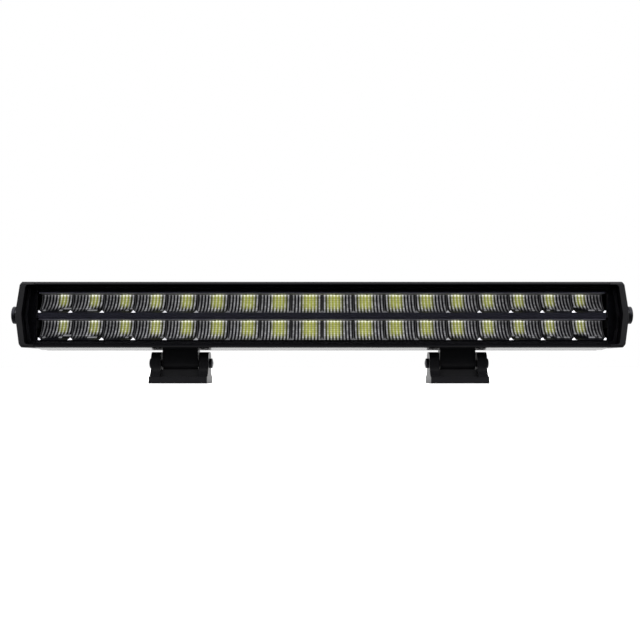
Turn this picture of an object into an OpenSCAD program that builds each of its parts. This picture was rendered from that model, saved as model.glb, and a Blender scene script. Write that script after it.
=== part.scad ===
// Double-row LED light bar on two sliding, tilting feet.
// X runs along the bar, -Y is the lit side, +Z is up, and the feet stand on Z = 0.

/* [Housing] */
// Length of the extruded housing between the end caps
housing_l = 531; // [413:59:649]
// Height of the housing and its end caps
housing_h = 61; // [61:0.5:63]
// Height of the bar's centre line above the feet's underside
centre_z = 64; // [64:0.5:66]
// Depth from the front rim to the tips of the cooling fins
housing_d = 64; // [64:0.5:68]
// Thickness of the front rim
rim_t = 2.8; // [2.6:0.1:3]
// Depth of the recess in front of the lens seat
seat_d = 9; // [9:0.1:9.4]

/* [End caps] */
// Length of an end cap at the bar's mid-height
cap_l = 18; // [17:0.5:20]
// How far an end cap tapers back from mid-height to its corners
cap_taper = 3.9; // [3:0.1:5]
// Thickness of the seal between housing and end cap
end_seal_t = 1; // [0.8:0.1:1.2]

/* [Lights] */
// Light cells along the bar, in each of the two rows
cells = 18; // [14:4:22]
// Thickness of the clear lens
lens_t = 3.5; // [3:0.1:3.5]

/* [Feet] */
// Place of the left foot's slider along the rail
left_x = -134.8; // [-190:0.1:-60]
// Place of the right foot's slider along the rail
right_x = 129; // [60:0.1:190]
// Overall width of a foot
foot_w = 54.4; // [54:0.2:56]
// Overall depth of a foot
foot_d = 42; // [42:1:46]
// Thickness of a foot's base
foot_t = 6.2; // [5.8:0.1:6.4]
// Thickness of a foot's ear
ear_t = 9.2; // [8.8:0.1:9.4]
// Radius of the fixing holes in a foot
foot_hole_r = 3.3; // [2.7:0.1:3.4]

/* [Hidden] */

$fn = 64;
eps = 0.01;
half_l = housing_l / 2;
half_h = housing_h / 2;
front_y = -34;
gland_end_y = 34;
back_y = front_y + housing_d;
pitch = housing_l / cells;

// Levels inside the housing, measured from the bar's centre line
recess_h = half_h - rim_t;
seat_y = front_y + seat_d;
shell_r = 2.4;
web_y = -3;
web_t = 3;
upper_roof = 21.8;
shelf_top = 2.2;
shelf_under = -2.7;
lower_floor = -23.4;
chamber_d = 13;
chamber_h = 42;
back_wall_t = 3.5;
wall_back_y = web_y + web_t + chamber_d + back_wall_t;
board_t = 1.6;
driver_y = 3.2;
driver_h = 43.6;
driver_slot_gap = 0.2;
top_hollow = [[-15, 24.6], [-5, 27.7]];

// Rail under the housing
slot_half = 11;
slot_mouth = 6.2;
slot_roof = -26.2;
lip_top = -30.2;
rail_bottom = -32.4;
rail_front_y = front_y + 4;
rail_flat = 9;
rail_back_y = 13.5;

// Fins along the back
fin_t = 2.2;
fin_pitch = 6.2;
first_fin = 10.9;
fins_per_side = 4;
fin_r = 0.8;
fin_root = 3;
cap_fin_inset = 5;

// End fixing screws: depth and height of each port, from the centre line
ports = [[-20, 26.1], [10, 25.8], [-18, -26.9], [14.4, -24.6]];
port_r = 1.3;
port_l = 14;
screw_r = 1.25;
screw_head_r = 2.7;
screw_head_h = 2.8;
screw_socket_r = 1.44;
screw_socket_d = 1.5;
screw_sink_r = 3;
screw_clear_r = 1.7;
cap_x = half_l + end_seal_t;
end_x = half_l + cap_l;
screw_seat_x = end_x - 10;

// Corners of an end cap, and its hollows: length in from the housing, then two (depth, height) corners
corner_in = 2.1;
corner_up = 3.2;
cap_hollows = [
  [8, [0, -18], [13, 18]],
  [5, [seat_y + 3, 3], [web_y, 20]],
  [5, [seat_y + 3, -22], [web_y, -12]]
];

// Side bolt
boss_r = 8.5;
boss_l = 1.5;
side_y = -20;
side_washer_r = 7.2;
side_washer_t = 1.3;
side_head_r = 8.2;
side_head_rim = 2.8;
side_dome = 0.9;
side_socket_r = 2.9;
side_shank_r = 3.95;
side_hole_r = 4;
side_hole_l = 12;
socket_d = 2;

// Lens
lens_gap = 0.4;
lens_end_x = end_x - 5.6;
pocket_taper = 3.2;
pocket_r = 3;
seal_w = 2.4;
lens_sunk = 4.5;
seal_t = seat_d - lens_t - lens_sunk;
lens_y = seat_y - seal_t - lens_t;

// Reflectors and LEDs
reflector_y = seat_y + 0.5;
reflector_t = 1.2;
half_gap = 0.3;
end_gap = 0.5;
upper_ceiling = upper_roof - board_t;
lower_ceiling = shelf_under - board_t;
rib_t = 1.2;
board_y = seat_y + 1.5;
board_d = 20.1;
led_size = 3.5;
led_h = 0.9;
led_y = -13;
led_shift = 2;
board_screw_cells = [-8, -4, 0, 4, 8];
board_screw_y = -9;
pan_r = 2.3;
pan_h = 1.5;
thread_r = 1.2;

// Driver board in the rear chamber, and the wires that feed the LED boards
driver_l = 300;
driver_x = 60;
parts_y = driver_y + board_t;
part_step = 56;
capacitor_r = 4;
capacitor_h = 7.4;
capacitor_z = 12;
inductor_r = 6.3;
inductor_bore_r = 2.6;
inductor_h = 5;
inductor_shift = 14;
inductor_z = -6;
chip_size = [6.2, 1.8, 5];
chip_shift = -10;
chip_z = -9;
wire_x = 195;
wire_r = 0.85;
wire_hole_r = 1.3;
wire_drop = 0.9;

// Feet, measured from the foot's own centre
pivot_z = 19.1;
ear_half = 10.8;
ear_up = 10.6;
ear_corner = 7;
foot_edge = 0.8;
cradle_top = 13.2;
cradle_half = 8.2;
cradle_foot = 9.8;
cradle_gap = 0.5;
neck_half = 16.8;
neck_r = 7.5;
slider_half = 27;
slider_clear = 0.25;
pivot_r = 2.5;
pivot_hole_r = 2.58;
pivot_thread_l = 12;
pivot_head_r = 4.6;
pivot_rim = 2.3;
pivot_dome = 1;
pivot_socket_r = 1.7;
pivot_gap = 0.1;
spacer_r = 3.4;
lock_x = 21.5;
lock_r = 2.45;
foot_hole_x = 9.5;
foot_hole_y = foot_d / 2 - 5.8;
hex_sides = 6;

// Gland and vent on the back
gland_x = 225;
gland_bore_r = 3.4;
gland_seal_r = 4.65;
gland_body_r = 5.6;
gland_thread_r = 6;
gland_hex_r = 9;
gland_nut_r = 8.6;
gland_flange_r = 7.4;
vent_x = -225;
vent_r = 7.5;
vent_stem_r = 3;
vent_flange_r = 5.4;
flange_t = 1;
vent_slot = 1.4;
hole_clear = 0.05;

// Extrudes a (depth, height) profile along the bar, centred on X = 0
module along_x(len) {
  rotate([90, 0, 90])
    linear_extrude(len, center = true)
      children();
}

// Extrudes a (depth, height) profile between two places along the bar
module from_x(x0, x1) {
  translate([(x0 + x1) / 2, 0, 0])
    along_x(abs(x1 - x0))
      children();
}

// Extrudes an (along, height) outline through the bar's depth, from y0 to y1
module through_y(y0, y1) {
  translate([0, y1, 0])
    rotate([90, 0, 0])
      linear_extrude(y1 - y0)
        children();
}

// A cylinder along X from x0 to x1, at depth y and height z
module rod_x(x0, x1, y, z, r) {
  translate([min(x0, x1), y, z])
    rotate([0, 90, 0])
      cylinder(h = abs(x1 - x0), r = r);
}

// A cylinder along Y from y0 to y1
module rod_y(x, y0, y1, z, r) {
  translate([x, y1, z])
    rotate([90, 0, 0])
      cylinder(h = y1 - y0, r = r);
}

// A flat rectangle from one corner to the other
module span(a, b) {
  translate(a)
    square([b[0] - a[0], b[1] - a[1]]);
}

// A rectangle with round corners
module round_span(a, b, r) {
  span([a[0] + r, a[1]], [b[0] - r, b[1]]);
  span([a[0], a[1] + r], [b[0], b[1] - r]);
  for (x = [a[0] + r, b[0] - r])
    for (y = [a[1] + r, b[1] - r])
      translate([x, y])
        circle(r);
}

// Outer (depth, height) shape shared by the housing's shell and the end caps
module shell_profile() {
  round_span([front_y, -half_h], [wall_back_y, half_h], shell_r);
}

module fin_profile() {
  for (side = [-1, 1])
    for (k = [0 : fins_per_side - 1])
      translate([wall_back_y - fin_root, side * (first_fin + fin_pitch * k) - fin_t / 2])
        round_span([0, 0], [back_y - wall_back_y + fin_root, fin_t], fin_r);
}

module rail_profile() {
  polygon([
    [rail_front_y, -half_h + 1], [rail_front_y, -half_h - 0.2], [-rail_flat, rail_bottom],
    [rail_flat, rail_bottom], [rail_back_y, -half_h + 1]
  ]);
}

module slot_profile() {
  span([-slot_half, lip_top], [slot_half, slot_roof]);
  span([-slot_mouth, rail_bottom - 1], [slot_mouth, lip_top + eps]);
}

module light_spaces() {
  span([front_y - 1, -recess_h], [seat_y, recess_h]);
  span([seat_y - eps, shelf_top], [web_y, upper_roof]);
  span([seat_y - eps, lower_floor], [web_y, shelf_under]);
}

module chamber_profile() {
  span([web_y + web_t, -chamber_h / 2], [web_y + web_t + chamber_d, chamber_h / 2]);
  slot_h = driver_h / 2 + driver_slot_gap;
  span([driver_y - driver_slot_gap, -slot_h], [driver_y + board_t + driver_slot_gap, slot_h]);
}

module housing() {
  color("#1b1b1d")
    translate([0, 0, centre_z])
      difference() {
        along_x(housing_l)
          difference() {
            union() {
              shell_profile();
              fin_profile();
              rail_profile();
            }
            light_spaces();
            chamber_profile();
            slot_profile();
            span(top_hollow[0], top_hollow[1]);
          }
        for (side = [-1, 1])
          for (p = ports)
            rod_x(side * (half_l - port_l), side * (half_l + 1), p[0], p[1], port_r);
        board_screw_places(upper_roof, upper_roof + 3.4, thread_r + hole_clear);
        board_screw_places(shelf_under, shelf_under + 2.4, thread_r + hole_clear);
        for (z = [wire_z(upper_ceiling), wire_z(lower_ceiling)])
          rod_y(wire_x, web_y - 1, web_y + web_t + 1, z, wire_hole_r);
        rod_y(gland_x, wall_back_y - 5, wall_back_y + 1, 0, gland_thread_r + hole_clear);
        rod_y(vent_x, wall_back_y - 5, wall_back_y + 1, 0, vent_stem_r + hole_clear);
      }
}

// Height of a feed wire soldered under the rear edge of an LED board
function wire_z(ceiling) = ceiling - wire_drop;

// Vertical holes or pins at the LED board screws
module board_screw_places(z0, z1, r) {
  for (k = board_screw_cells)
    translate([k * pitch, board_screw_y, z0])
      cylinder(h = z1 - z0, r = r);
}

// Outline of one end of the bar seen from the front, for the +X end
module end_outline(x1) {
  side_x = x1 - cap_taper;
  polygon([
    [cap_x, -half_h], [side_x - corner_in, -half_h], [side_x, -half_h + corner_up],
    [x1, 0], [side_x, half_h - corner_up], [side_x - corner_in, half_h], [cap_x, half_h]
  ]);
}

module end_cap() {
  difference() {
    union() {
      intersection() {
        through_y(front_y - 1, wall_back_y + 1)
          end_outline(end_x);
        from_x(cap_x, end_x)
          shell_profile();
      }
      rod_x(end_x - 6, end_x + boss_l, side_y, 0, boss_r);
      intersection() {
        through_y(wall_back_y - fin_root, back_y)
          end_outline(end_x - cap_fin_inset);
        from_x(cap_x, end_x)
          fin_profile();
      }
    }
    through_y(front_y - 1, seat_y)
      pocket_outline(cap_x - 1, lens_end_x, recess_h);
    for (h = cap_hollows)
      from_x(cap_x - 1, cap_x + h[0])
        span(h[1], h[2]);
    rod_x(end_x + boss_l - side_hole_l, end_x + boss_l + 1, side_y, 0, side_hole_r);
    for (p = ports) {
      rod_x(cap_x - 1, end_x, p[0], p[1], screw_clear_r);
      rod_x(screw_seat_x, end_x + 1, p[0], p[1], screw_sink_r);
    }
  }
}

// The front pocket that continues the housing's recess into an end cap
module pocket_outline(x0, x1, h) {
  side_x = x1 - pocket_taper;
  low = h - pocket_r;
  span([x0, -h], [side_x - pocket_r, h]);
  polygon([[x0, -low], [side_x, -low], [x1, 0], [side_x, low], [x0, low]]);
  for (side = [-1, 1])
    translate([side_x - pocket_r, side * low])
      circle(pocket_r);
}

// Puts a +X piece at the bar's height, on the right end or mirrored to the left
module at_end(side) {
  translate([0, 0, centre_z])
    mirror([side < 0 ? 1 : 0, 0, 0])
      children();
}

module end_cap_left() {
  color("#202022")
    at_end(-1)
      end_cap();
}

module end_cap_right() {
  color("#202022")
    at_end(1)
      end_cap();
}

module end_seal() {
  difference() {
    from_x(half_l, cap_x)
      difference() {
        round_span([front_y + 0.6, -half_h + 0.6], [wall_back_y - 0.6, half_h - 0.6], 1);
        light_spaces();
        chamber_profile();
      }
    for (p = ports)
      rod_x(half_l - 1, cap_x + 1, p[0], p[1], screw_clear_r);
  }
}

module end_seal_left() {
  color("#0c0c0c")
    at_end(-1)
      end_seal();
}

module end_seal_right() {
  color("#0c0c0c")
    at_end(1)
      end_seal();
}

module end_cap_screws() {
  for (p = ports)
    difference() {
      union() {
        rod_x(screw_seat_x, screw_seat_x + screw_head_h, p[0], p[1], screw_head_r);
        rod_x(half_l - port_l + 2, screw_seat_x + 0.5, p[0], p[1], screw_r);
      }
      translate([screw_seat_x + screw_head_h - screw_socket_d, p[0], p[1]])
        rotate([0, 90, 0])
          cylinder(h = screw_socket_d + 1, r = screw_socket_r, $fn = hex_sides);
    }
}

module end_cap_screws_left() {
  color("#2c2c2e")
    at_end(-1)
      end_cap_screws();
}

module end_cap_screws_right() {
  color("#2c2c2e")
    at_end(1)
      end_cap_screws();
}

// Domed round head on a threaded shank, lying along +X
module domed_bolt(x, y, r, rim, dome, shank_r, shank_l, socket_r) {
  sphere_r = (r * r + dome * dome) / (2 * dome);
  translate([x, y, 0])
    rotate([0, 90, 0])
      difference() {
        union() {
          cylinder(h = rim, r = r);
          intersection() {
            translate([0, 0, rim + dome - sphere_r])
              sphere(sphere_r, $fn = 96);
            cylinder(h = rim + dome, r = r);
          }
          translate([0, 0, -shank_l])
            cylinder(h = shank_l + 0.5, r = shank_r);
        }
        translate([0, 0, rim + dome - socket_d])
          cylinder(h = socket_d + 1, r = socket_r, $fn = hex_sides);
      }
}

module side_bolt() {
  domed_bolt(end_x + boss_l + side_washer_t, side_y, side_head_r, side_head_rim, side_dome,
             side_shank_r, side_hole_l - 1 + side_washer_t, side_socket_r);
}

module side_bolt_left() {
  color("#2a2a2c")
    at_end(-1)
      side_bolt();
}

module side_bolt_right() {
  color("#2a2a2c")
    at_end(1)
      side_bolt();
}

module side_washer() {
  difference() {
    rod_x(end_x + boss_l, end_x + boss_l + side_washer_t, side_y, 0, side_washer_r);
    rod_x(end_x, end_x + boss_l + 3, side_y, 0, side_shank_r + hole_clear);
  }
}

module side_washer_left() {
  color("#8c8c90")
    at_end(-1)
      side_washer();
}

module side_washer_right() {
  color("#8c8c90")
    at_end(1)
      side_washer();
}

// Outline of the lens, both ends, drawn in by a margin
module lens_outline(margin) {
  h = recess_h - lens_gap - margin;
  for (side = [0, 1])
    mirror([side, 0])
      pocket_outline(-1, lens_end_x - lens_gap - margin, h);
}

module lens() {
  color([0.85, 0.9, 0.92, 0.35])
    translate([0, 0, centre_z])
      through_y(lens_y, lens_y + lens_t)
        lens_outline(0);
}

module lens_seal() {
  color("#101010")
    translate([0, 0, centre_z])
      through_y(lens_y + lens_t, seat_y)
        difference() {
          lens_outline(0.2);
          lens_outline(0.2 + seal_w);
        }
}

// One half row of light cells: a concave trough with thin ribs between the cells
module reflector(ceiling, floor_z) {
  r_out = ceiling - floor_z;
  r_in = r_out - reflector_t;
  difference() {
    union() {
      from_x(half_gap, half_l - end_gap)
        difference() {
          intersection() {
            translate([reflector_y, ceiling])
              circle(r_out);
            span([reflector_y, floor_z], [web_y, ceiling - eps]);
          }
          translate([reflector_y, ceiling])
            circle(r_in);
        }
      for (k = [0 : cells / 2])
        rib(k, ceiling, floor_z);
    }
    for (k = board_screw_cells)
      translate([k * pitch, board_screw_y, ceiling - pan_h - 0.4])
        cylinder(h = pan_h + 1, r = pan_r + 0.4);
  }
}

// A rib at the cell boundary k, kept inside the module's own ends
module rib(k, ceiling, floor_z) {
  x0 = max(half_gap, k * pitch - rib_t / 2);
  x1 = min(half_l - end_gap, k * pitch + rib_t / 2);
  from_x(x0, x1)
    intersection() {
      translate([reflector_y, ceiling])
        circle(ceiling - floor_z - reflector_t / 2);
      span([reflector_y + 2, floor_z], [web_y, ceiling - eps]);
    }
}

module reflector_upper_left() {
  color("#c9cccf")
    at_end(-1)
      reflector(upper_ceiling, shelf_top);
}

module reflector_upper_right() {
  color("#c9cccf")
    at_end(1)
      reflector(upper_ceiling, shelf_top);
}

module reflector_lower_left() {
  color("#c9cccf")
    at_end(-1)
      reflector(lower_ceiling, lower_floor);
}

module reflector_lower_right() {
  color("#c9cccf")
    at_end(1)
      reflector(lower_ceiling, lower_floor);
}

module led_board(ceiling) {
  difference() {
    from_x(-half_l + end_gap, half_l - end_gap)
      span([board_y, ceiling], [board_y + board_d, ceiling + board_t]);
    board_screw_places(ceiling - 1, ceiling + board_t + 1, thread_r + 0.2);
  }
}

module led_board_upper() {
  color("#e6e6e0")
    translate([0, 0, centre_z])
      led_board(upper_ceiling);
}

module led_board_lower() {
  color("#e6e6e0")
    translate([0, 0, centre_z])
      led_board(lower_ceiling);
}

module leds(ceiling) {
  for (side = [-1, 1])
    for (k = [0 : cells / 2 - 1])
      translate([side * ((k + 0.5) * pitch - led_shift), led_y, ceiling - led_h / 2])
        cube([led_size, led_size, led_h], center = true);
}

module leds_upper() {
  color("#e8d94a")
    translate([0, 0, centre_z])
      leds(upper_ceiling);
}

module leds_lower() {
  color("#e8d94a")
    translate([0, 0, centre_z])
      leds(lower_ceiling);
}

// Pan-head screws that hold one LED board up against the housing
module pan_screws(ceiling) {
  board_screw_places(ceiling - pan_h, ceiling, pan_r);
  board_screw_places(ceiling - eps, ceiling + board_t + 2, thread_r);
}

module board_screws() {
  color("#b5b5b8")
    translate([0, 0, centre_z]) {
      pan_screws(upper_ceiling);
      pan_screws(lower_ceiling);
    }
}

// Driver electronics in the rear chamber
module driver_board() {
  color("#1f5c3a")
    translate([driver_x - driver_l / 2, driver_y, centre_z - driver_h / 2])
      cube([driver_l, board_t, driver_h]);
}

module driver_capacitors() {
  color("#3a3a58")
    translate([driver_x, 0, centre_z])
      for (k = [-2, -1, 1, 2])
        rod_y(k * part_step, parts_y, parts_y + capacitor_h, capacitor_z, capacitor_r);
}

module driver_inductors() {
  color("#3d3d3d")
    translate([driver_x + inductor_shift, 0, centre_z + inductor_z])
      for (k = [-2 : 2])
        difference() {
          rod_y(k * part_step, parts_y, parts_y + inductor_h, 0, inductor_r);
          rod_y(k * part_step, parts_y - 1, parts_y + inductor_h + 1, 0, inductor_bore_r);
        }
}

module driver_chips() {
  color("#141414")
    translate([driver_x, parts_y, centre_z])
      for (k = [-2 : 2])
        translate([k * part_step + chip_shift, 0, chip_z])
          cube(chip_size);
}

module board_wires() {
  color("#b02020")
    translate([0, 0, centre_z])
      for (z = [wire_z(upper_ceiling), wire_z(lower_ceiling)])
        rod_y(wire_x, web_y - 0.9, driver_y, z, wire_r);
}

// Cable gland in the flat channel on the back
module gland_body() {
  color("#18181a")
    translate([gland_x, 0, centre_z])
      rotate([-90, 0, 0])
        difference() {
          union() {
            translate([0, 0, wall_back_y - 4.6])
              cylinder(h = 6, r = gland_thread_r);
            translate([0, 0, wall_back_y + flange_t])
              cylinder(h = 4, r = gland_hex_r, $fn = hex_sides);
            translate([0, 0, wall_back_y + 4])
              cylinder(h = 9.5, r = gland_body_r);
          }
          translate([0, 0, wall_back_y - 6])
            cylinder(h = 12, r = gland_bore_r + 0.3);
          translate([0, 0, wall_back_y + 5])
            cylinder(h = 10, r = gland_seal_r + hole_clear);
        }
}

module gland_seal() {
  color("#0a0a0a")
    translate([0, 0, centre_z])
      difference() {
        rod_y(gland_x, wall_back_y + 5, wall_back_y + 13.5, 0, gland_seal_r);
        rod_y(gland_x, wall_back_y, wall_back_y + 15, 0, gland_bore_r);
      }
}

module gland_nut() {
  color("#18181a")
    translate([gland_x, 0, centre_z])
      rotate([-90, 0, 0])
        difference() {
          union() {
            translate([0, 0, wall_back_y + 5.2])
              cylinder(h = 6.8, r = gland_nut_r, $fn = hex_sides);
            translate([0, 0, wall_back_y + 11.9])
              cylinder(h = gland_end_y - wall_back_y - 11.9, r1 = gland_flange_r, r2 = 5.4);
          }
          translate([0, 0, wall_back_y])
            cylinder(h = 14, r = gland_body_r + hole_clear);
          translate([0, 0, wall_back_y + 8])
            cylinder(h = 12, r = gland_bore_r + 0.5);
        }
}

module gland_washer() {
  color("#0a0a0a")
    translate([0, 0, centre_z])
      difference() {
        rod_y(gland_x, wall_back_y, wall_back_y + flange_t, 0, gland_flange_r);
        rod_y(gland_x, wall_back_y - 1, wall_back_y + 2, 0, gland_thread_r + 0.1);
      }
}

// Pressure-equalising vent plug
module breather_vent() {
  color("#18181a")
    translate([0, 0, centre_z])
      difference() {
        union() {
          rod_y(vent_x, wall_back_y - 5, wall_back_y + flange_t + 0.5, 0, vent_stem_r);
          rod_y(vent_x, wall_back_y + flange_t, wall_back_y + 6, 0, vent_r);
        }
        for (a = [0 : 45 : 135])
          translate([vent_x, wall_back_y + 5.5, 0])
            rotate([0, a, 0])
              cube([3 * vent_r, vent_slot, vent_slot], center = true);
      }
}

module vent_washer() {
  color("#0a0a0a")
    translate([0, 0, centre_z])
      difference() {
        rod_y(vent_x, wall_back_y, wall_back_y + flange_t, 0, vent_flange_r);
        rod_y(vent_x, wall_back_y - 1, wall_back_y + 2, 0, vent_stem_r + 0.1);
      }
}

// T-shaped slider: its head runs in the rail and its neck carries the pivot
module slider(x) {
  top = centre_z + slot_roof - slider_clear;
  head_under = centre_z + lip_top + slider_clear;
  neck_top = centre_z + rail_bottom - slider_clear;
  translate([x, 0, 0])
    difference() {
      union() {
        from_x(-slider_half, slider_half)
          span([-slot_half + slider_clear, head_under], [slot_half - slider_clear, top]);
        from_x(-neck_half, neck_half) {
          span([-slot_mouth + slider_clear, neck_top - 1], [slot_mouth - slider_clear, head_under + 1]);
          span([-neck_r, pivot_z], [neck_r, neck_top]);
          translate([0, pivot_z])
            circle(neck_r);
        }
      }
      for (side = [-1, 1]) {
        rod_x(side * (neck_half + 1), side * (neck_half - pivot_thread_l), 0, pivot_z, pivot_r);
        translate([side * lock_x, 0, head_under - 1])
          cylinder(h = 10, r = lock_r + hole_clear);
      }
    }
}

module slider_left() {
  color("#232325")
    slider(left_x);
}

module slider_right() {
  color("#232325")
    slider(right_x);
}

// Grub screws that jack the slider's head against the slot's roof
module lock_screws(x) {
  z0 = centre_z + lip_top + slider_clear;
  z1 = centre_z + slot_roof - hole_clear;
  for (side = [-1, 1])
    translate([x + side * lock_x, 0, 0])
      difference() {
        translate([0, 0, z0])
          cylinder(h = z1 - z0, r = lock_r);
        translate([0, 0, z0 - 1])
          cylinder(h = 3, r = screw_socket_r, $fn = hex_sides);
      }
}

module lock_screws_left() {
  color("#38383a")
    lock_screws(left_x);
}

module lock_screws_right() {
  color("#38383a")
    lock_screws(right_x);
}

// Side shape of an ear: an upright with a rounded top, flaring front and back into the base
module ear_profile() {
  flare_r = foot_d / 2 - ear_half;
  difference() {
    union() {
      round_span([-ear_half, foot_t], [ear_half, pivot_z + ear_up], ear_corner);
      span([-ear_half, foot_t - 1], [ear_half, pivot_z]);
      span([-foot_d / 2, foot_t - 1], [foot_d / 2, foot_t + flare_r]);
    }
    for (side = [-1, 1])
      translate([side * foot_d / 2, foot_t + flare_r])
        circle(flare_r);
  }
}

// Side shape of the cradle between the ears, hollowed about the pivot to clear the neck
module cradle_profile() {
  difference() {
    polygon([
      [-cradle_foot, foot_t - 1], [-cradle_foot, foot_t], [-cradle_half, cradle_top],
      [cradle_half, cradle_top], [cradle_foot, foot_t], [cradle_foot, foot_t - 1]
    ]);
    translate([0, pivot_z])
      circle(neck_r + cradle_gap);
  }
}

module foot(x) {
  half_w = foot_w / 2;
  half_d = foot_d / 2;
  translate([x, 0, 0])
    difference() {
      union() {
        from_x(-half_w, half_w)
          polygon([
            [-half_d + foot_edge, 0], [half_d - foot_edge, 0], [half_d, foot_edge],
            [half_d, foot_t], [-half_d, foot_t], [-half_d, foot_edge]
          ]);
        from_x(ear_t - half_w - 1, half_w - ear_t + 1)
          cradle_profile();
        for (side = [-1, 1])
          from_x(side * (half_w - ear_t), side * half_w)
            ear_profile();
      }
      rod_x(-foot_w, foot_w, 0, pivot_z, pivot_hole_r);
      for (sx = [-1, 1])
        for (sy = [-1, 1])
          translate([sx * foot_hole_x, sy * foot_hole_y, -1])
            cylinder(h = foot_t + 2, r = foot_hole_r);
    }
}

module foot_left() {
  color("#1e1e20")
    foot(left_x);
}

module foot_right() {
  color("#1e1e20")
    foot(right_x);
}

// Button-head bolts through the ears into the slider's neck
module pivot_bolts(x) {
  reach = foot_w / 2 + pivot_gap;
  for (side = [-1, 1])
    translate([x, 0, pivot_z])
      mirror([side < 0 ? 1 : 0, 0, 0])
        domed_bolt(reach, 0, pivot_head_r, pivot_rim, pivot_dome, pivot_r,
                   reach - neck_half + pivot_thread_l - 1, pivot_socket_r);
}

module pivot_bolts_left() {
  color("#2a2a2c")
    pivot_bolts(left_x);
}

module pivot_bolts_right() {
  color("#2a2a2c")
    pivot_bolts(right_x);
}

// Spacer rings on the pivot bolts that fill the gaps between ears and neck
module pivot_spacers(x) {
  reach = foot_w / 2 - ear_t - pivot_gap;
  for (side = [-1, 1])
    translate([x, 0, 0])
      mirror([side < 0 ? 1 : 0, 0, 0])
        difference() {
          rod_x(neck_half, reach, 0, pivot_z, spacer_r);
          rod_x(neck_half - 1, reach + 1, 0, pivot_z, pivot_r + hole_clear);
        }
}

module pivot_spacers_left() {
  color("#77777a")
    pivot_spacers(left_x);
}

module pivot_spacers_right() {
  color("#77777a")
    pivot_spacers(right_x);
}

housing();
end_cap_left();
end_cap_right();
end_seal_left();
end_seal_right();
end_cap_screws_left();
end_cap_screws_right();
side_bolt_left();
side_bolt_right();
side_washer_left();
side_washer_right();
lens();
lens_seal();
reflector_upper_left();
reflector_upper_right();
reflector_lower_left();
reflector_lower_right();
led_board_upper();
led_board_lower();
leds_upper();
leds_lower();
board_screws();
driver_board();
driver_capacitors();
driver_inductors();
driver_chips();
board_wires();
gland_body();
gland_seal();
gland_nut();
gland_washer();
breather_vent();
vent_washer();
slider_left();
lock_screws_left();
foot_left();
pivot_bolts_left();
pivot_spacers_left();
slider_right();
lock_screws_right();
foot_right();
pivot_bolts_right();
pivot_spacers_right();
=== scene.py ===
"""Looks for a double-row LED light bar on two sliding, tilting feet."""

import math

import bmesh
import bpy
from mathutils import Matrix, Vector


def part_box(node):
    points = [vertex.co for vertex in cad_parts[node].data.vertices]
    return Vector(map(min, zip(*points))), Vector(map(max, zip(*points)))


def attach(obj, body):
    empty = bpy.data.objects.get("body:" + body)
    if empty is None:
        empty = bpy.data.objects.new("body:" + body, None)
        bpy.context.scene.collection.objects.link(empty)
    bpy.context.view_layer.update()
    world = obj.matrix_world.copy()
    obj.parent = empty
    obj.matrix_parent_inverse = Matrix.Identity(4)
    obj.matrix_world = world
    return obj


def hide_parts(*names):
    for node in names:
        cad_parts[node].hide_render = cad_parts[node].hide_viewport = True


bl_info = {
    "name": "LED light bar",
    "version": (1, 0, 0),
    "blender": (4, 5, 0),
    "location": "3D View > Sidebar > Light Bar",
    "description": "Builds the reflectors, LEDs, lens and finishes of a truck light bar",
    "category": "Object",
}

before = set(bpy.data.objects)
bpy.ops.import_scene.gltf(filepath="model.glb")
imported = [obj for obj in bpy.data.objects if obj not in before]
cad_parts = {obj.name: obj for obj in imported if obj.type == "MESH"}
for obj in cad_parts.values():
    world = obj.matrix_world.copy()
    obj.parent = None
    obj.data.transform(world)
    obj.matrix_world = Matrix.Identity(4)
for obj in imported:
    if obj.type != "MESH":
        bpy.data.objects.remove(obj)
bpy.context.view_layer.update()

MM = 0.001


def lowest(node):
    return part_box(node)[0]


def highest(node):
    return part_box(node)[1]


# Places taken from the CAD frame
BAR_END = highest("reflector_upper_right").x
BAR_FRONT = lowest("housing").y
BAR_CENTRE_Z = (lowest("end_cap_left").z + highest("end_cap_left").z) / 2
RECESS_HALF = highest("lens").z - BAR_CENTRE_Z
RECESS_END = highest("lens").x
SHELF_TOP = lowest("reflector_upper_right").z
SHELF_UNDER = highest("led_board_lower").z
REFLECTOR_FRONT = lowest("reflector_upper_right").y
REFLECTOR_BACK = highest("reflector_upper_right").y
UPPER_CEILING = lowest("led_board_upper").z
LOWER_CEILING = lowest("led_board_lower").z
UPPER_FLOOR = lowest("reflector_upper_right").z
LOWER_FLOOR = lowest("reflector_lower_right").z
LED_BACK = (lowest("leds_upper").y + highest("leds_upper").y) / 2
LED_OUTERMOST = highest("leds_upper").x

# Painted shade inside the recess: how far behind the rim it starts, and how far it runs past the lens; then
# the margin of the shelf, which gets a painted lighter grey for light instead
SHADE_BEHIND_RIM = 0.2 * MM
SHADE_ABOVE_LENS = 0.8 * MM
SHADE_BESIDE_LENS = 2.4 * MM
LIT_SHELF_MARGIN = 0.1 * MM

# LED package and the gap between a bowl and its board
BASE_THICK = 0.45 * MM
BASE_EDGE = 0.12 * MM
DOME_SINK = 0.01 * MM
DOME_SPREAD = 0.43
DOME_FLATNESS = 0.28
BOARD_GAP = 0.3 * MM
LAST_FACET = 0.995

# Reflector film: its darkest colour, the glow of its painted reflections and highlights, and the seed step of
# its painted glints
DARKEST_FILM = (0.002, 0.002, 0.003)
PAINTED_REFLECTION_GLOW = 0.75
SEED_STEP = 17.0

# Stage
FLOOR_RADIUS = 6
FLOOR_SIDES = 96
FLOOR_LIFT = 0.8
FLOOR_DARK_AT = -0.12
FLOOR_BRIGHT_AT = 0.22
FLOOR_GAIN = 1.4
DARK_DIP = math.radians(8)
DARK_WITHIN = math.radians(24)
BRIGHT_BEYOND = math.radians(60)
SIDE_LIGHT_PLACE = (1.3, -1.0, 0.9)
SIDE_LIGHT_SIZE = (0.6, 0.9)
SIDE_LIGHT_POWER = 6
NEAREST_SEEN = 0.01


# ---------------------------------------------------------------- settings


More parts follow.
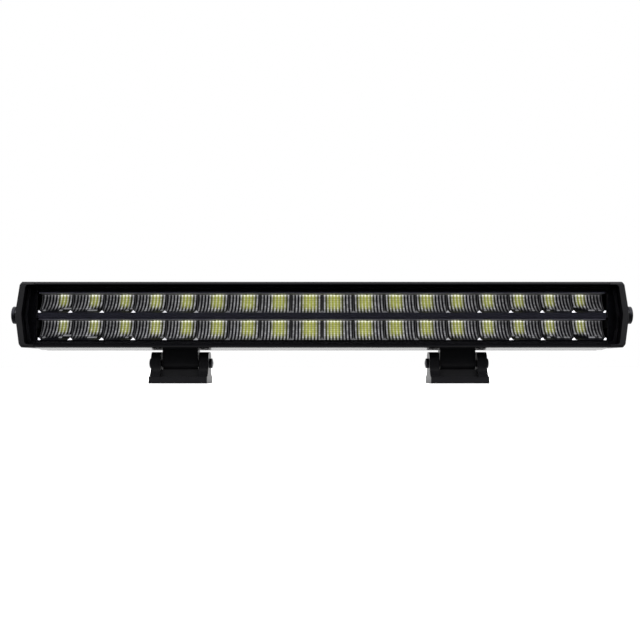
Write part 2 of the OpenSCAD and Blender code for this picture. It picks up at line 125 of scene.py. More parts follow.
class LightBarCells(bpy.types.PropertyGroup):
    """Sizes of the light cells"""

    cells_a_side: bpy.props.IntProperty(
        name="Cells a side", description="Light cells each side of the middle, in each row", default=9
    )
    columns: bpy.props.IntProperty(
        name="Facet columns", description="Columns of facets across one cell", default=9
    )
    rows: bpy.props.IntProperty(
        name="Facet rows", description="Rows of facets down one cell", default=10
    )
    bowl_depth: bpy.props.FloatProperty(
        name="Bowl depth",
        description="Depth of a cell from its front edge to its back",
        default=14 * MM,
        unit="LENGTH",
    )
    crown: bpy.props.FloatProperty(
        name="Facet crown", description="Rise of a facet's ridge", default=0.35 * MM, unit="LENGTH"
    )
    rib: bpy.props.FloatProperty(
        name="Rib", description="Width of the plain ridge between two cells", default=1.8 * MM, unit="LENGTH"
    )
    led_size: bpy.props.FloatProperty(
        name="LED size", description="Side of an LED's ceramic base", default=3.5 * MM, unit="LENGTH"
    )


class LightBarColours(bpy.types.PropertyGroup):
    """Colours of the finishes, as sRGB hex values"""

    anodised: bpy.props.StringProperty(
        name="Extrusion", description="Black anodised extrusion", default="#1C1C20"
    )
    powder: bpy.props.StringProperty(
        name="End caps", description="Powder coat on the end caps", default="#212124"
    )
    bracket: bpy.props.StringProperty(
        name="Brackets", description="Powder coat on the sliders and feet", default="#202023"
    )
    phosphor: bpy.props.StringProperty(
        name="Phosphor", description="Yellow phosphor of the LEDs", default="#C9CC4A"
    )
    # Colour of the painted highlights on the reflectors
    film: bpy.props.StringProperty(
        name="Reflector film", description="Bright film on the reflectors", default="#F4F4F0"
    )
    # Colour of the LEDs' painted reflection on the reflectors
    image: bpy.props.StringProperty(
        name="LED image", description="Phosphor as the reflectors show it", default="#9CA044"
    )


class LightBarStage(bpy.types.PropertyGroup):
    """Camera, floor and light"""

    distance: bpy.props.FloatProperty(
        name="Distance", description="Camera to the bar's front", default=0.8189, unit="LENGTH"
    )
    drop: bpy.props.FloatProperty(
        name="Drop", description="How far the camera is below the bar's middle", default=0.0481, unit="LENGTH"
    )
    pitch: bpy.props.FloatProperty(
        name="Pitch", description="Upward tilt of the camera", default=math.radians(3), unit="ROTATION"
    )
    aside: bpy.props.FloatProperty(
        name="Aside", description="Camera's place left of the bar's middle", default=1.95 * MM, unit="LENGTH"
    )
    lens: bpy.props.FloatProperty(
        name="Lens", description="Focal length in millimetres", default=50
    )
    surround: bpy.props.FloatProperty(
        name="Surround", description="Brightness of the white studio", default=1.0
    )
    shade: bpy.props.FloatProperty(
        name="Shade", description="Brightness of the dark side behind the camera", default=0.025
    )


# ---------------------------------------------------------------- small tools


def linear(hex_colour):
    """An sRGB hex value as a linear colour with alpha."""
    channels = [int(hex_colour[i : i + 2], 16) / 255 for i in (1, 3, 5)]
    return [c / 12.92 if c <= 0.04045 else ((c + 0.055) / 1.055) ** 2.4 for c in channels] + [1]


def add(tree, kind, inputs=None, **settings):
    """Adds a node, sets its properties, and sets or links its sockets."""
    made = tree.nodes.new(kind)
    for name, value in settings.items():
        setattr(made, name, value)
    for name, value in (inputs or {}).items():
        if isinstance(value, bpy.types.NodeSocket):
            tree.links.new(value, made.inputs[name])
        else:
            made.inputs[name].default_value = value
    return made


class Wire:
    """A number in a node tree, so that a formula can be written out plainly."""

    def __init__(self, tree, socket):
        self.tree = tree
        self.socket = socket

    def math(self, operation, *others, first=None):
        terms = [self, *others] if first is None else [first, self]
        inputs = {i: t.socket if isinstance(t, Wire) else t for i, t in enumerate(terms)}
        return Wire(self.tree, add(self.tree, "ShaderNodeMath", inputs, operation=operation).outputs[0])

    def __add__(self, other):
        return self.math("ADD", other)

    def __sub__(self, other):
        return self.math("SUBTRACT", other)

    def __rsub__(self, other):
        return self.math("SUBTRACT", first=other)

    def __mul__(self, other):
        return self.math("MULTIPLY", other)

    def __truediv__(self, other):
        return self.math("DIVIDE", other)

    def size(self):
        return self.math("ABSOLUTE")

    def floor(self):
        return self.math("FLOOR")

    def part(self):
        return self.math("FRACT")

    def above(self, level):
        return self.math("GREATER_THAN", level)

    def below(self, level):
        return self.math("LESS_THAN", level)

    def most(self, other):
        return self.math("MAXIMUM", other)

    def hump(self, sharpness):
        """Falls from 1 at zero towards 0 beyond one, the more squarely the sharper it is."""
        return (0.0 - self.size().math("POWER", sharpness)).math("EXPONENT")

    def ramp(self, start, end, low=0.0, high=1.0):
        """Goes smoothly from low to high between start and end."""
        made = add(
            self.tree,
            "ShaderNodeMapRange",
            {"Value": self.socket, "From Min": start, "From Max": end, "To Min": low, "To Max": high},
            interpolation_type="SMOOTHSTEP",
        )
        return Wire(self.tree, made.outputs[0])


def blend(tree, share, first, second):
    """The colour that lies a share of the way from the first colour to the second."""
    made = add(tree, "ShaderNodeMix", {0: share, 6: first, 7: second}, data_type="RGBA")
    return made.outputs[2]


def places(tree):
    """Object coordinates as a vector, and as three numbers in metres."""
    vector = add(tree, "ShaderNodeTexCoord").outputs["Object"]
    axes = add(tree, "ShaderNodeSeparateXYZ", {"Vector": vector}).outputs
    return vector, [Wire(tree, axis) for axis in axes]


def start_material(name):
    """A material with an empty node tree."""
    material = bpy.data.materials.new(name)
    material.use_nodes = True
    material.node_tree.nodes.clear()
    return material, material.node_tree


def end_material(tree, surface):
    add(tree, "ShaderNodeOutputMaterial", {"Surface": surface})


def grain(tree, dark, pale, rough, grain_mm, bump_mm, stretch=(1, 1, 1), edge_mm=0):
    """Colour, roughness and normal that wander over a grain of a real size."""
    vector, _ = places(tree)
    placed = add(tree, "ShaderNodeMapping", {"Vector": vector, "Scale": stretch}).outputs[0]
    broad = add(
        tree, "ShaderNodeTexNoise", {"Vector": placed, "Scale": 0.12 / (grain_mm * MM), "Detail": 3.0}
    ).outputs[0]
    fine = add(
        tree, "ShaderNodeTexNoise", {"Vector": placed, "Scale": 1 / (grain_mm * MM), "Detail": 2.0}
    ).outputs[0]
    bump = {"Height": fine, "Distance": bump_mm * MM, "Strength": 0.6}
    if edge_mm:
        bump["Normal"] = add(tree, "ShaderNodeBevel", {"Radius": edge_mm * MM}, samples=4).outputs[0]
    return {
        "Base Color": blend(tree, broad, linear(dark), linear(pale)),
        "Roughness": Wire(tree, fine).ramp(0, 1, rough[0], rough[1]).socket,
        "Normal": add(tree, "ShaderNodeBump", bump).outputs[0],
    }


def grained(name, dark, pale, rough, grain_mm, bump_mm, stretch=(1, 1, 1), edge_mm=0, **sockets):
    """A whole finish made of one grain."""
    material, tree = start_material(name)
    skin = grain(tree, dark, pale, rough, grain_mm, bump_mm, stretch, edge_mm)
    skin.update(sockets)
    end_material(tree, add(tree, "ShaderNodeBsdfPrincipled", skin).outputs[0])
    return material


def shade_painted_inside(name, skin_of):
    """A finish that gives way to painted shade in the recess, a matt black with a weaker reflection, and on
    the shelf's front to a painted lighter grey standing in for light.
    """
    material, tree = start_material(name)
    _, (x, y, z) = places(tree)
    # Painted shade: matt black over the recess walls behind the rim and around the lens
    inside = (z - BAR_CENTRE_Z).size().below(RECESS_HALF + SHADE_ABOVE_LENS)
    inside = inside * y.above(BAR_FRONT + SHADE_BEHIND_RIM) * y.below(REFLECTOR_BACK)
    inside = inside * x.size().below(RECESS_END + SHADE_BESIDE_LENS)
    # The shelf's front is kept out of the painted shade and gets a lighter grey, as painted light
    half = (SHELF_TOP - SHELF_UNDER) / 2
    shelf = (z - SHELF_UNDER - half).size().below(half + LIT_SHELF_MARGIN) * x.size().below(BAR_END)
    share = inside * (1.0 - shelf)
    skin = skin_of(tree)
    lit_shelf_colour = blend(tree, (inside * shelf).socket, skin["Base Color"], linear("#3E3E45"))
    skin["Base Color"] = blend(tree, share.socket, lit_shelf_colour, linear("#0C0C0F"))
    # The painted shade also dims the reflection inside the recess
    skin["Specular IOR Level"] = (0.5 - share * 0.35).socket
    end_material(tree, add(tree, "ShaderNodeBsdfPrincipled", skin).outputs[0])
    return material


def dress(material, *nodes):
    """Gives CAD nodes their finish."""
    for name in nodes:
        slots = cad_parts[name].data.materials
        slots.clear()
        slots.append(material)


def piece(name, mesh, body, slot, *stands_for):
    """Links a finished mesh as a piece that rides on a body."""
    made = bpy.data.objects.new(name, mesh)
    bpy.context.scene.collection.objects.link(made)
    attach(made, body)
    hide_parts(*stands_for)


def box_faces(bm, low, high):
    """A closed box from its lowest to its highest corner."""
    corners = bmesh.ops.create_cube(bm, size=1)["verts"]
    size = Vector(high) - Vector(low)
    centre = (Vector(high) + Vector(low)) / 2
    for corner in corners:
        corner.co = corner.co * size + centre


def mesh_of(bm, name):
    """Turns a bmesh into a mesh with outward faces."""
    bmesh.ops.recalc_face_normals(bm, faces=bm.faces)
    mesh = bpy.data.meshes.new(name)
    bm.to_mesh(mesh)
    bm.free()
    return mesh


# ---------------------------------------------------------------- finishes


def anodised_extrusion():
    """Black anodised aluminium, drawn through a die: satin, with faint lines along the bar."""
    hue = bpy.context.scene.light_bar_colours.anodised

    def skin_of(tree):
        return grain(tree, hue, "#222226", (0.16, 0.22), 0.5, 0.01, stretch=(0.02, 1, 1))

    # The recess gets painted shade, and the shelf's front gets painted light
    return shade_painted_inside("Anodised_aluminium_extrusion", skin_of)


def cap_powder_coat():
    """Black polyester powder coat on the end caps: greyish, with a low orange peel."""
    hue = bpy.context.scene.light_bar_colours.powder

    def skin_of(tree):
        return grain(tree, hue, "#29292C", (0.36, 0.5), 0.9, 0.03)

    # The recess gets painted shade, and the shelf's front gets painted light
    return shade_painted_inside("Powder_coated_end_cap", skin_of)


def bracket_powder_coat():
    """Black powder coat on the sliders and feet: deeper and smoother than on the end caps."""
    hue = bpy.context.scene.light_bar_colours.bracket
    return grained(
        "Powder_coated_bracket", hue, "#28282B", (0.3, 0.4), 0.9, 0.02, **{"Specular IOR Level": 0.25}
    )


def black_oxide_steel():
    """Steel blackened in hot oxide: dark, slightly metallic and oily."""
    return grained(
        "Black_oxide_steel", "#34343A", "#45454C", (0.28, 0.42), 0.4, 0.01,
        edge_mm=0.25, Metallic=0.7
    )


def stainless_steel():
    """Turned stainless steel: fine rings read as a soft brushed grey."""
    return grained(
        "Stainless_steel", "#8E8E92", "#A9A9AD", (0.22, 0.36), 0.3, 0.01,
        edge_mm=0.15, Metallic=1.0
    )


def seal_rubber():
    """Black silicone rubber: matt, with a slight bloom."""
    return grained("Silicone_rubber", "#0A0A0B", "#141416", (0.6, 0.8), 0.8, 0.02)


def moulded_nylon():
    """Black glass-filled nylon: matt, with a sparked mould texture."""
    return grained("Moulded_nylon", "#131315", "#1D1D20", (0.45, 0.6), 0.5, 0.04, edge_mm=0.3)


def green_laminate():
    """Glass-epoxy laminate under green solder mask."""
    return grained("Green_circuit_laminate", "#0E3B22", "#175332", (0.3, 0.45), 1.2, 0.01)


def capacitor_sleeve():
    """Shrunk PVC sleeve on electrolytic capacitors: smooth and glossy."""
    return grained("Capacitor_PVC_sleeve", "#1B1B33", "#232344", (0.18, 0.26), 2.0, 0.005)


def ferrite():
    """Sintered ferrite: dull dark grey with a fine grain."""
    return grained("Sintered_ferrite", "#232326", "#303034", (0.55, 0.7), 0.3, 0.02)


def moulded_epoxy():
    """Moulded epoxy of chip packages: matt black."""
    return grained("Moulded_epoxy", "#111113", "#19191B", (0.5, 0.65), 0.3, 0.01)


def wire_pvc():
    """Red PVC insulation: smooth, softly glossy."""
    return grained("Red_PVC_insulation", "#8E1414", "#A81C1C", (0.3, 0.4), 1.5, 0.005)


def led_board_finish():
    """Aluminium-core board: white solder mask on its faces, dark sheared metal on its edges."""
    material, tree = start_material("White_mask_aluminium_board")
    normal = add(tree, "ShaderNodeNewGeometry").outputs["Normal"]
    upright = Wire(tree, add(tree, "ShaderNodeSeparateXYZ", {"Vector": normal}).outputs["Z"])
    face = upright.size().ramp(0.4, 0.6)
    vector, _ = places(tree)
    noise = add(tree, "ShaderNodeTexNoise", {"Vector": vector, "Scale": 1 / (0.8 * MM)})
    weave = Wire(tree, noise.outputs[0])
    skin = {
        "Base Color": blend(tree, face.socket, linear("#8F8D99"), linear("#D9D9D4")),
        "Roughness": weave.ramp(0, 1, 0.35, 0.5).socket,
    }
    end_material(tree, add(tree, "ShaderNodeBsdfPrincipled", skin).outputs[0])
    return material


def metallised_film():
    """Vacuum-metallised plastic with many small facets, whose reflections are painted on.

    Each column of facets shows a painted highlight streak with dark flanks. Behind the streaks nearest the
    LED lies a painted reflection of its yellow phosphor. Further down, the facets turn away and only painted
    stray glints are left. These painted reflections and highlights glow a little, as painted light, so they
    stay put when the light or the view changes.
    """
    settings = bpy.context.scene.light_bar_cells
    colours = bpy.context.scene.light_bar_colours
    material, tree = start_material("Metallised_reflector_film")
    vector, (x, _, _) = places(tree)
    cell = add(tree, "ShaderNodeAttribute", attribute_name="cell").outputs["Vector"]
    across, down, kind = [
        Wire(tree, axis) for axis in add(tree, "ShaderNodeSeparateXYZ", {"Vector": cell}).outputs
    ]
    out = x.size() / BAR_END
    edge = settings.rib / 2 * settings.cells_a_side / BAR_END
    plain = across.above(edge) * across.below(1 - edge)
    is_skirt = kind.above(0.5)

    # The painted highlight columns lean outwards down the cell, the more the further out the cell is
    lean = out * down * down * 0.09
    column = (across - lean - edge) * (settings.columns / (1 - 2 * edge))
    row = down * settings.rows
    cell_number = (x * (settings.cells_a_side / BAR_END)).floor()
    seed = column.floor() + cell_number * SEED_STEP
    spot = add(tree, "ShaderNodeCombineXYZ", {"X": seed.socket, "Y": row.floor().socket}).outputs[0]
    chance = Wire(tree, add(tree, "ShaderNodeTexWhiteNoise", {"Vector": spot}).outputs["Value"])
    streak = ((column.part() - 0.5) / 0.22).hump(4.0)
    dot = ((row.part() - 0.5) / 0.42).hump(4.0)

    # The LED's painted reflection sits inwards of the cell's middle; it is narrower and shorter further out
    aside = (across - (0.4 - out * 0.09)) / (0.23 - out * 0.1)
    glow = aside.hump(4.0) * (down / (0.8 - out * 0.24)).hump(7.0)

    # Painted highlight streaks end at the tail, are brightest beside the LED's painted reflection, and give
    # way to it near the middle
    tail = 1.0 - out * 0.42 + across * out * 0.33
    lit = (down / tail).hump(12.0)
    level = (aside / 2.2).hump(2.0) * 0.55 + 0.3 - out * 0.08
    line = streak * lit * level * (chance * 0.5 + 0.55) * (dot * 0.38 + 0.62)
    line = line * (1.0 - glow * (1.0 - out) * 0.6)

    # Painted highlights: white dots along the top, stray glints below the streaks, and a thin line on each
    # ridge
    top = (down / 0.085).hump(6.0) * ((aside / 1.3).hump(3.0) * 0.9 + 0.1) * (streak * 0.7 + 0.3)
    glint = down.below(0.9) * (1.0 - lit) * chance.above(0.8) * dot * out * 0.3
    ridge = (1.0 - plain) * lit * (across - 0.5).size().ramp(0.485, 0.5, 0.002, 0.09)

    # Painted highlights: white triangles where two cells meet at the bottom
    is_cusp = ((0.5 - (across - 0.5).size()) / 0.08 + (1.0 - down) / 0.13).below(1.0)
    cusp_highlight = is_cusp * (1.0 - is_skirt) * out.ramp(0.3, 0.72, 0.15, 1.5)

    bowl = 1.0 - is_cusp.most(is_skirt)
    # All painted highlights in white, and the LED's painted reflection in yellow
    white = ((line + top * 1.2 + glint) * plain + ridge) * bowl + cusp_highlight
    image = glow * plain * (dot * 0.5 + 0.5) * (1.45 - out * 0.45 - streak * 0.25) * bowl
    film = add(
        tree, "ShaderNodeVectorMath", {0: linear(colours.film)[:3], 3: white.socket}, operation="SCALE"
    ).outputs[0]
    seen = add(
        tree, "ShaderNodeVectorMath", {0: linear(colours.image)[:3], 3: image.socket}, operation="SCALE"
    ).outputs[0]
    both = add(tree, "ShaderNodeVectorMath", {0: film, 1: seen}, operation="ADD").outputs[0]
    paint = add(tree, "ShaderNodeVectorMath", {0: both, 1: DARKEST_FILM}, operation="ADD").outputs[0]
    noise = add(tree, "ShaderNodeTexNoise", {"Vector": vector, "Scale": 1 / (2.5 * MM)})
    haze = Wire(tree, noise.outputs[0])
    skin = {
        "Base Color": paint,
        "Roughness": haze.ramp(0, 1, 0.28, 0.4).socket,
        "Metallic": 0.1,
        "Specular IOR Level": 0.08,
        # The painted reflections and highlights also glow: painted light on a part that is no lamp
        "Emission Color": paint,
        "Emission Strength": PAINTED_REFLECTION_GLOW,
    }
    end_material(tree, add(tree, "ShaderNodeBsdfPrincipled", skin).outputs[0])
    return material


def polycarbonate():
    """Hard-coated polycarbonate: clear, with a reflection that grows towards the edges of sight.

    The share that reflects is the same on both sides of the sheet, because light goes straight
    through it here: a Fresnel term would turn the inner side into a mirror at a slant.
    """
    material, tree = start_material("Clear_polycarbonate")
    vector, _ = places(tree)
    ripple = add(tree, "ShaderNodeTexNoise", {"Vector": vector, "Scale": 1 / (40 * MM)}).outputs[0]
    bump = {"Height": ripple, "Distance": 0.05 * MM, "Strength": 0.2}
    skin = {
        "Base Color": linear("#030304"),
        "Roughness": 0.03,
        "Normal": add(tree, "ShaderNodeBump", bump).outputs[0],
        "IOR": 1.58,
    }
    gloss = add(tree, "ShaderNodeBsdfPrincipled", skin).outputs[0]
    clear = add(tree, "ShaderNodeBsdfTransparent", {"Color": linear("#F6F6FA")}).outputs[0]
    facing = Wire(tree, add(tree, "ShaderNodeLayerWeight", {"Blend": 0.5}).outputs["Facing"])
    share = facing.math("POWER", 5.0) * 0.96 + 0.03
    end_material(tree, add(tree, "ShaderNodeMixShader", {0: share.socket, 1: clear, 2: gloss}).outputs[0])
    return material


def led_ceramic():
    """White alumina ceramic base of an LED."""
    return grained("Alumina_ceramic", "#DCDCD6", "#ECECE6", (0.4, 0.5), 0.5, 0.005)


def led_phosphor():
    """Yellow phosphor under a clear silicone dome: bright, even and wet-looking."""
    hue = bpy.context.scene.light_bar_colours.phosphor
    return grained("LED_phosphor_in_silicone", hue, "#D8D65E", (0.1, 0.16), 0.6, 0.002)


# ---------------------------------------------------------------- geometry nodes


def even_row_tree():
    """Copies of a small piece at even steps, one way or both ways from the middle."""
    tree = bpy.data.node_groups.new("Even row", "GeometryNodeTree")
    face = tree.interface
    for name, kind in (
        ("Geometry", "NodeSocketGeometry"),
        ("Count", "NodeSocketInt"),
        ("First", "NodeSocketVector"),
        ("Step", "NodeSocketFloat"),
        ("Both Ways", "NodeSocketBool"),
        ("Material", "NodeSocketMaterial"),
    ):
        face.new_socket(name, in_out="INPUT", socket_type=kind)
    face.new_socket("Geometry", in_out="OUTPUT", socket_type="NodeSocketGeometry")
    given = add(tree, "NodeGroupInput").outputs
    stride = add(tree, "ShaderNodeCombineXYZ", {"X": given["Step"]}).outputs[0]
    rows = []
    for way in (1, -1):
        flip = (way, 1, 1)
        first = add(
            tree, "ShaderNodeVectorMath", {0: given["First"], 1: flip}, operation="MULTIPLY"
        ).outputs[0]
        step = add(tree, "ShaderNodeVectorMath", {0: stride, 1: flip}, operation="MULTIPLY").outputs[0]
        line = add(
            tree,
            "GeometryNodeMeshLine",
            {"Count": given["Count"], "Start Location": first, "Offset": step},
        ).outputs[0]
        rows.append(
            add(
                tree, "GeometryNodeInstanceOnPoints", {"Points": line, "Instance": given["Geometry"]}
            ).outputs[0]
        )
    other = add(
        tree, "GeometryNodeSwitch", {"Switch": given["Both Ways"], "True": rows[1]}, input_type="GEOMETRY"
    ).outputs[0]
    joined = add(tree, "GeometryNodeJoinGeometry")
    tree.links.new(rows[0], joined.inputs[0])
    tree.links.new(other, joined.inputs[0])
    real = add(tree, "GeometryNodeRealizeInstances", {"Geometry": joined.outputs[0]}).outputs[0]
    painted = add(
        tree, "GeometryNodeSetMaterial", {"Geometry": real, "Material": given["Material"]}
    ).outputs[0]
    add(tree, "NodeGroupOutput", {"Geometry": painted})
    return tree


def even_row(name, master, material, count, first, step, both_ways):
    """The mesh that the even row tree makes from one master mesh."""
    tree = bpy.data.node_groups.get("Even row") or even_row_tree()
    maker = bpy.data.objects.new(name + "_maker", master)
    bpy.context.scene.collection.objects.link(maker)
    row = maker.modifiers.new("Row", "NODES")
    row.node_group = tree
    wanted = {"Count": count, "First": first, "Step": step, "Both Ways": both_ways, "Material": material}
    for socket in tree.interface.items_tree:
        if socket.in_out == "INPUT" and socket.name in wanted:
            row[socket.identifier] = wanted[socket.name]
    graph = bpy.context.evaluated_depsgraph_get()
    mesh = bpy.data.meshes.new_from_object(maker.evaluated_get(graph))
    mesh.name = name
    maker.modifiers.remove(row)
    bpy.data.objects.remove(maker)
    return mesh


# ---------------------------------------------------------------- reflectors


def bowl_depth_at(u, v):
    """Depth of a cell's bowl, as a share of its full depth; 0 where the bowl has run out."""
    return math.sqrt(max(0.0, 1 - v * v - 0.2 * abs(2 * u - 1) ** 16))


def steps_between(low, high, count, shares):
    """Places at the given shares of each of a count of equal steps."""
    width = (high - low) / count
    return [low + width * (n + share) for n in range(count) for share in shares]


def bowl_mesh(name, side, ceiling, floor_z):
    """One faceted bowl: u runs outwards across it, v runs down it, and its skirt closes the back."""
    settings = bpy.context.scene.light_bar_cells
    pitch = BAR_END / settings.cells_a_side
    edge = settings.rib / 2 / pitch
    top = ceiling - BOARD_GAP
    us = [0.0, *steps_between(edge, 1 - edge, settings.columns, (0, 0.3, 0.5, 0.7)), 1 - edge, 1.0]
    vs = [0.0, *steps_between(0, LAST_FACET, settings.rows, (0.7, 1.0))]
    bm = bmesh.new()
    cell = bm.loops.layers.float_vector.new("cell")
    grid = []
    for u in us:
        inner = min(1.0, max(0.0, (u - edge) / (1 - 2 * edge)))
        swell = settings.crown * (1 - (2 * (inner * settings.columns % 1) - 1) ** 2)
        line = []
        for v in vs:
            depth = bowl_depth_at(u, v)
            y = REFLECTOR_FRONT + settings.bowl_depth * depth - swell * min(1, depth * 3)
            z = top - (top - floor_z) * v
            line.append(bm.verts.new((side * u * pitch, y, z)))
        grid.append(line)
    for i in range(len(us) - 1):
        for j in range(len(vs) - 1):
            corners = [(i, j), (i, j + 1), (i + 1, j + 1), (i + 1, j)]
            corners = corners if side > 0 else corners[::-1]
            face = bm.faces.new([grid[a][b] for a, b in corners])
            for loop, (a, b) in zip(face.loops, corners):
                loop[cell] = (us[a], vs[b], 0.0)
    rim = [e for e in bm.edges if e.is_boundary]
    skirt = bmesh.ops.extrude_edge_only(bm, edges=rim)["geom"]
    for v in skirt:
        if isinstance(v, bmesh.types.BMVert):
            v.co.y = REFLECTOR_BACK
    hole = [e for e in bm.edges if e.is_boundary]
    closed = bmesh.ops.contextual_create(bm, geom=hole)["faces"]
    for face in [f for f in skirt if isinstance(f, bmesh.types.BMFace)] + closed:
        for loop in face.loops:
            loop[cell] = (0.5, 0.5, 1.0)
    return mesh_of(bm, name)


class LIGHTBAR_OT_reflectors(bpy.types.Operator):
    """Build the four half rows of faceted reflectors"""

    bl_idname = "lightbar.reflectors"
    bl_label = "Reflectors"

    def execute(self, context):
        count = context.scene.light_bar_cells.cells_a_side
        film = metallised_film()
        for row, ceiling, floor_z in (
            ("upper", UPPER_CEILING, UPPER_FLOOR),
            ("lower", LOWER_CEILING, LOWER_FLOOR),
        ):
            for half, side in (("left", -1), ("right", 1)):
                name = f"bowls_{row}_{half}"
                master = bowl_mesh(name, side, ceiling, floor_z)
                step = side * BAR_END / count
                mesh = even_row(name, master, film, count, (0, 0, 0), step, False)
                piece(name, mesh, "lamp", "metallised", f"reflector_{row}_{half}")
        return {"FINISHED"}


# ---------------------------------------------------------------- LEDs and boards


def led_base_mesh(size):
    """The square ceramic base of one LED, hanging from its board."""
    bm = bmesh.new()
    box_faces(bm, (-size / 2, -size / 2, -BASE_THICK), (size / 2, size / 2, 0))
    bmesh.ops.bevel(bm, geom=bm.edges[:], offset=BASE_EDGE, segments=1, affect="EDGES")
    return mesh_of(bm, "led_base")


def led_dome_mesh(size):
    """The shallow dome under one LED's base."""
    bm = bmesh.new()
    bmesh.ops.create_uvsphere(bm, u_segments=16, v_segments=8, radius=size * DOME_SPREAD)
    for v in bm.verts:
        v.co.z = v.co.z * DOME_FLATNESS - (BASE_THICK - DOME_SINK)
    return mesh_of(bm, "led_dome")


class LIGHTBAR_OT_leds(bpy.types.Operator):
    """Build the LED packages along both boards"""

    bl_idname = "lightbar.leds"
    bl_label = "LEDs"

    def execute(self, context):
        settings = context.scene.light_bar_cells
        count = settings.cells_a_side
        pitch = BAR_END / count
        inner = LED_OUTERMOST - settings.led_size / 2 - (count - 1) * pitch
        for part, master, material in (
            ("bases", led_base_mesh(settings.led_size), led_ceramic()),
            ("domes", led_dome_mesh(settings.led_size), led_phosphor()),
        ):
            for row, ceiling in (("upper", UPPER_CEILING), ("lower", LOWER_CEILING)):
                name = f"led_{part}_{row}"
                mesh = even_row(name, master, material, count, (inner, LED_BACK, ceiling), pitch, True)
                piece(name, mesh, "lamp", "phosphor", f"leds_{row}")
        dress(led_board_finish(), "led_board_upper", "led_board_lower")
        dress(stainless_steel(), "board_screws")
        return {"FINISHED"}


class LIGHTBAR_OT_driver(bpy.types.Operator):
    """Give the driver electronics their finishes"""

    bl_idname = "lightbar.driver"
    bl_label = "Driver"

    def execute(self, context):
        dress(green_laminate(), "driver_board")
        dress(capacitor_sleeve(), "driver_capacitors")
        dress(ferrite(), "driver_inductors")
        dress(moulded_epoxy(), "driver_chips")
        dress(wire_pvc(), "board_wires")
        return {"FINISHED"}


# ---------------------------------------------------------------- body and feet


class LIGHTBAR_OT_housing(bpy.types.Operator):
    """Finish the housing, its end caps, seals, screws and side bolts"""

    bl_idname = "lightbar.housing"
    bl_label = "Housing"

    def execute(self, context):
        dress(anodised_extrusion(), "housing")
        dress(cap_powder_coat(), "end_cap_left", "end_cap_right")
        dress(seal_rubber(), "end_seal_left", "end_seal_right", "lens_seal")
        dress(
            black_oxide_steel(),
            "end_cap_screws_left", "end_cap_screws_right", "side_bolt_left", "side_bolt_right",
        )
        dress(stainless_steel(), "side_washer_left", "side_washer_right")
        return {"FINISHED"}


class LIGHTBAR_OT_lens(bpy.types.Operator):
    """Finish the clear lens"""

    bl_idname = "lightbar.lens"
    bl_label = "Lens"

    def execute(self, context):
        dress(polycarbonate(), "lens")
        return {"FINISHED"}


class LIGHTBAR_OT_feet(bpy.types.Operator):
    """Finish the sliders, feet, bolts and spacers"""

    bl_idname = "lightbar.feet"
    bl_label = "Feet"

    def execute(self, context):
        dress(bracket_powder_coat(), "slider_left", "slider_right", "foot_left", "foot_right")
        dress(
            black_oxide_steel(),
            "lock_screws_left", "lock_screws_right", "pivot_bolts_left", "pivot_bolts_right",
        )
        dress(stainless_steel(), "pivot_spacers_left", "pivot_spacers_right")
        return {"FINISHED"}


class LIGHTBAR_OT_gland(bpy.types.Operator):
    """Finish the cable gland and the breather vent"""

    bl_idname = "lightbar.gland"
    bl_label = "Gland and vent"

    def execute(self, context):
        dress(moulded_nylon(), "gland_body", "gland_nut", "breather_vent")
        dress(seal_rubber(), "gland_seal", "gland_washer", "vent_washer")
        return {"FINISHED"}


# ---------------------------------------------------------------- stage


def camera_sees(tree, seen, otherwise):
    """One shader as the camera sees it directly, another for the light that it gives the pieces."""
    direct = add(tree, "ShaderNodeLightPath").outputs["Is Camera Ray"]
    return add(tree, "ShaderNodeMixShader", {0: direct, 1: otherwise, 2: seen}).outputs[0]


def pale_floor_finish(surround, shade):
    """Matt white studio floor.

    Seen directly it is plain white. In the light that it gives the pieces it is dark in front of
    the bar and bright behind it, which keeps the black fronts black and the underside bright.
    """
    material, tree = start_material("Studio_floor")
    vector, (_, y, _) = places(tree)
    cloud = Wire(tree, add(tree, "ShaderNodeTexNoise", {"Vector": vector, "Scale": 2.0}).outputs[0])
    paint = {"Color": linear("#FFFFFF"), "Roughness": cloud.ramp(0, 1, 0.8, 0.9).socket}
    matt = add(tree, "ShaderNodeBsdfDiffuse", paint).outputs[0]
    lift = add(tree, "ShaderNodeEmission", {"Color": linear("#FFFFFF"), "Strength": FLOOR_LIFT}).outputs[0]
    seen = add(tree, "ShaderNodeAddShader", {0: matt, 1: lift}).outputs[0]
    level = y.ramp(FLOOR_DARK_AT, FLOOR_BRIGHT_AT, shade, surround * FLOOR_GAIN)
    given = add(tree, "ShaderNodeEmission", {"Color": linear("#FFFFFF"), "Strength": level.socket})
    end_material(tree, camera_sees(tree, seen, given.outputs[0]))
    return material


def studio_world(surround, shade):
    """A white studio that is dark behind the camera, and plain white to look at."""
    world = bpy.data.worlds.new("Studio")
    world.use_nodes = True
    tree = world.node_tree
    tree.nodes.clear()
    way = add(tree, "ShaderNodeTexCoord").outputs["Generated"]
    facing = add(
        tree,
        "ShaderNodeVectorMath",
        {0: way, 1: (0, -math.cos(DARK_DIP), -math.sin(DARK_DIP))},
        operation="DOT_PRODUCT",
    ).outputs["Value"]
    level = Wire(tree, facing).ramp(math.cos(BRIGHT_BEYOND), math.cos(DARK_WITHIN), surround, shade)
    white = linear("#FFFFFF")
    lit = add(tree, "ShaderNodeBackground", {"Color": white, "Strength": level.socket}).outputs[0]
    plain = add(tree, "ShaderNodeBackground", {"Color": white, "Strength": 1.0}).outputs[0]
    add(tree, "ShaderNodeOutputWorld", {"Surface": camera_sees(tree, plain, lit)})
    bpy.context.scene.world = world


def soft_light(name, place, aim, size, power):
    """An area light that points from its place at its aim."""
    data = bpy.data.lights.new(name, "AREA")
    data.shape = "RECTANGLE"
    data.size, data.size_y = size
    data.energy = power
    made = bpy.data.objects.new(name, data)
    made.location = place
    made.rotation_euler = (Vector(aim) - Vector(place)).to_track_quat("-Z", "Y").to_euler()
    bpy.context.scene.collection.objects.link(made)


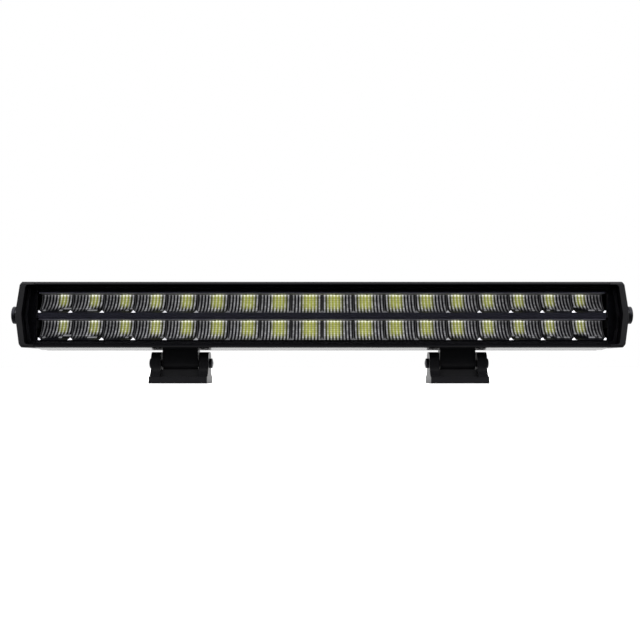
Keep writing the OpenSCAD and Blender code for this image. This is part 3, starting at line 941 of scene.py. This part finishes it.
class LIGHTBAR_OT_stage(bpy.types.Operator):
    """Build the floor, the white studio, the lights and the camera"""

    bl_idname = "lightbar.stage"
    bl_label = "Stage"

    def execute(self, context):
        settings = context.scene.light_bar_stage
        bm = bmesh.new()
        bmesh.ops.create_circle(bm, cap_ends=True, segments=FLOOR_SIDES, radius=FLOOR_RADIUS)
        floor = bpy.data.objects.new("floor", mesh_of(bm, "floor"))
        floor.data.materials.append(pale_floor_finish(settings.surround, settings.shade))
        context.scene.collection.objects.link(floor)
        studio_world(settings.surround, settings.shade)
        middle = (0, BAR_FRONT, BAR_CENTRE_Z)
        for name, side in (("key_left", -1), ("key_right", 1)):
            place = (side * SIDE_LIGHT_PLACE[0], *SIDE_LIGHT_PLACE[1:])
            soft_light(name, place, middle, SIDE_LIGHT_SIZE, SIDE_LIGHT_POWER)
        data = bpy.data.cameras.new("camera")
        data.lens = settings.lens
        camera = bpy.data.objects.new("camera", data)
        camera.location = (
            -settings.aside,
            BAR_FRONT - settings.distance,
            BAR_CENTRE_Z - settings.drop,
        )
        camera.rotation_euler = (math.pi / 2 + settings.pitch, 0, 0)
        data.clip_start = NEAREST_SEEN
        context.scene.collection.objects.link(camera)
        context.scene.camera = camera
        context.scene.view_settings.view_transform = "Standard"
        return {"FINISHED"}


# ---------------------------------------------------------------- panel and run


class LIGHTBAR_PT_sidebar(bpy.types.Panel):
    """Lists the settings and the buttons that build and finish the pieces"""

    bl_label = "LED light bar"
    bl_idname = "LIGHTBAR_PT_sidebar"
    bl_space_type = "VIEW_3D"
    bl_region_type = "UI"
    bl_category = "Light Bar"

    def draw(self, context):
        for group in (
            context.scene.light_bar_cells,
            context.scene.light_bar_colours,
            context.scene.light_bar_stage,
        ):
            for name in group.__annotations__:
                self.layout.prop(group, name)
        for operator in OPERATORS:
            self.layout.operator(operator.bl_idname)


GROUPS = (LightBarCells, LightBarColours, LightBarStage)
OPERATORS = (
    LIGHTBAR_OT_stage,
    LIGHTBAR_OT_housing,
    LIGHTBAR_OT_reflectors,
    LIGHTBAR_OT_leds,
    LIGHTBAR_OT_driver,
    LIGHTBAR_OT_lens,
    LIGHTBAR_OT_feet,
    LIGHTBAR_OT_gland,
)


def register():
    for item in GROUPS + OPERATORS + (LIGHTBAR_PT_sidebar,):
        bpy.utils.register_class(item)
    scene = bpy.types.Scene
    scene.light_bar_cells = bpy.props.PointerProperty(type=LightBarCells)
    scene.light_bar_colours = bpy.props.PointerProperty(type=LightBarColours)
    scene.light_bar_stage = bpy.props.PointerProperty(type=LightBarStage)


def unregister():
    scene = bpy.types.Scene
    del scene.light_bar_cells, scene.light_bar_colours, scene.light_bar_stage
    for item in reversed(GROUPS + OPERATORS + (LIGHTBAR_PT_sidebar,)):
        bpy.utils.unregister_class(item)


def main():
    register()
    bpy.ops.lightbar.stage()
    bpy.ops.lightbar.housing()
    bpy.ops.lightbar.reflectors()
    bpy.ops.lightbar.leds()
    bpy.ops.lightbar.driver()
    bpy.ops.lightbar.lens()
    bpy.ops.lightbar.feet()
    bpy.ops.lightbar.gland()


if __name__ == "__main__":
    main()
